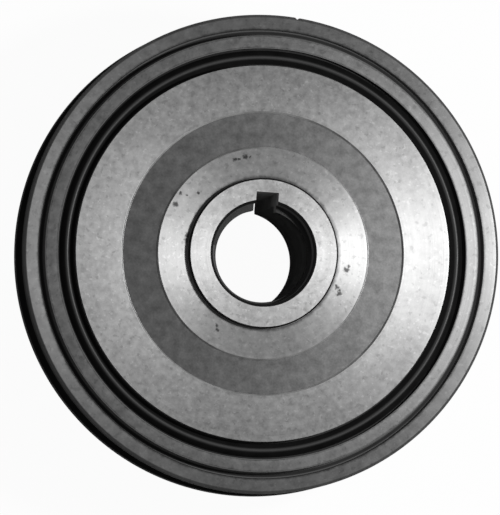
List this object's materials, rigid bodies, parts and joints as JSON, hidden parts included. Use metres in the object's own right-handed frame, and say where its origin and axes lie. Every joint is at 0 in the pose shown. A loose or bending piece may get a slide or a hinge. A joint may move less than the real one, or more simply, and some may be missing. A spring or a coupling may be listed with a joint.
{
  "type": "harmonic balancer",
  "caption": "Keyed cast iron hub with a seal journal behind, a bonded rubber ring, and a stepped inertia ring with ribbed belt grooves round its rim.",
  "frame": {"origin": "on the bore's axis, at the rear end of the hub's nose", "axes": "+Z along the crankshaft's axis towards the front of the engine, +Y through the middle of the keyway"},
  "size_m": [0.17, 0.17, 0.0627],
  "materials": {
    "hub_iron": "turned lands with fine concentric marks, with a darker as-cast band and pocket",
    "ring_iron": "turned all over with fine concentric marks, lightly oiled",
    "damper_rubber": "smooth moulded black rubber with a slight sheen"
  },
  "bodies": {
    "root": {"hub": "hub_iron", "rubber_ring": "damper_rubber", "inertia_ring": "ring_iron"}
  },
  "joints": []
}
